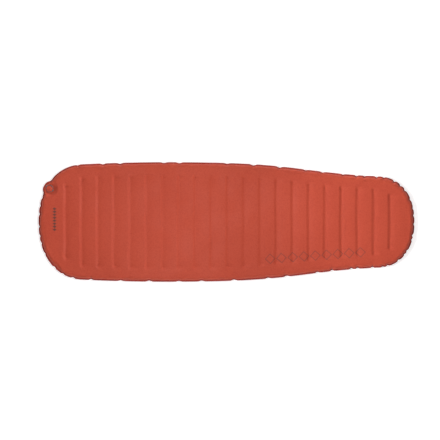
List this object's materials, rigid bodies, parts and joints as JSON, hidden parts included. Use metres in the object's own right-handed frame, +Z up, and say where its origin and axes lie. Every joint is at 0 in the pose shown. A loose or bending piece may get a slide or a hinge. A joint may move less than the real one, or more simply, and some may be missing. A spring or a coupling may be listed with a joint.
{
  "type": "inflatable sleeping pad",
  "caption": "Self-inflating sleeping pad with a tapered mummy outline, crosswise grooves over a cored foam slab, a welded rim and a flat two-stage valve in a corner lobe.",
  "frame": {"origin": "on the ground, under the middle of the pad's bounding box", "axes": "+X along the pad towards the foot end, +Y to the side that carries the valve lobe, +Z up"},
  "size_m": [1.83, 0.5796, 0.038],
  "materials": {
    "top_fabric": "matte",
    "bottom_fabric": "matte",
    "foam": "matte",
    "clear_tpu": "satin",
    "grey_nylon": "satin",
    "red_nylon": "satin",
    "silicone": "satin",
    "seal_rubber": "matte"
  },
  "bodies": {
    "pad": {"top_cover": "top_fabric", "bottom_cover": "bottom_fabric", "foam_core": "foam", "valve_weld_flange": "clear_tpu", "valve_seat": "grey_nylon"},
    "ring": {"deflate_ring": "grey_nylon", "ring_seal": "seal_rubber", "flap_stud": "clear_tpu"},
    "lid": {"valve_lid": "red_nylon", "lid_seal": "seal_rubber", "lid_facing": "top_fabric"},
    "flap": {"check_flap": "silicone"}
  },
  "joints": [
    {"name": "ring_hinge", "type": "hinge", "parent": "pad", "child": "ring", "pos_m": [-0.87793, 0.1742, 0.0288], "axis": [-0.5519, -0.8339, 0], "range_deg": [0, 150]},
    {"name": "lid_hinge", "type": "hinge", "parent": "ring", "child": "lid", "pos_m": [-0.85272, 0.17551, 0.0306], "axis": [-0.8339, 0.5519, 0], "range_deg": [0, 150]},
    {"name": "flap_lift", "type": "slide", "parent": "ring", "child": "flap", "axis": [0, 0, -1], "range_m": [0, 0.002], "stiffness_N_per_m": 10}
  ]
}
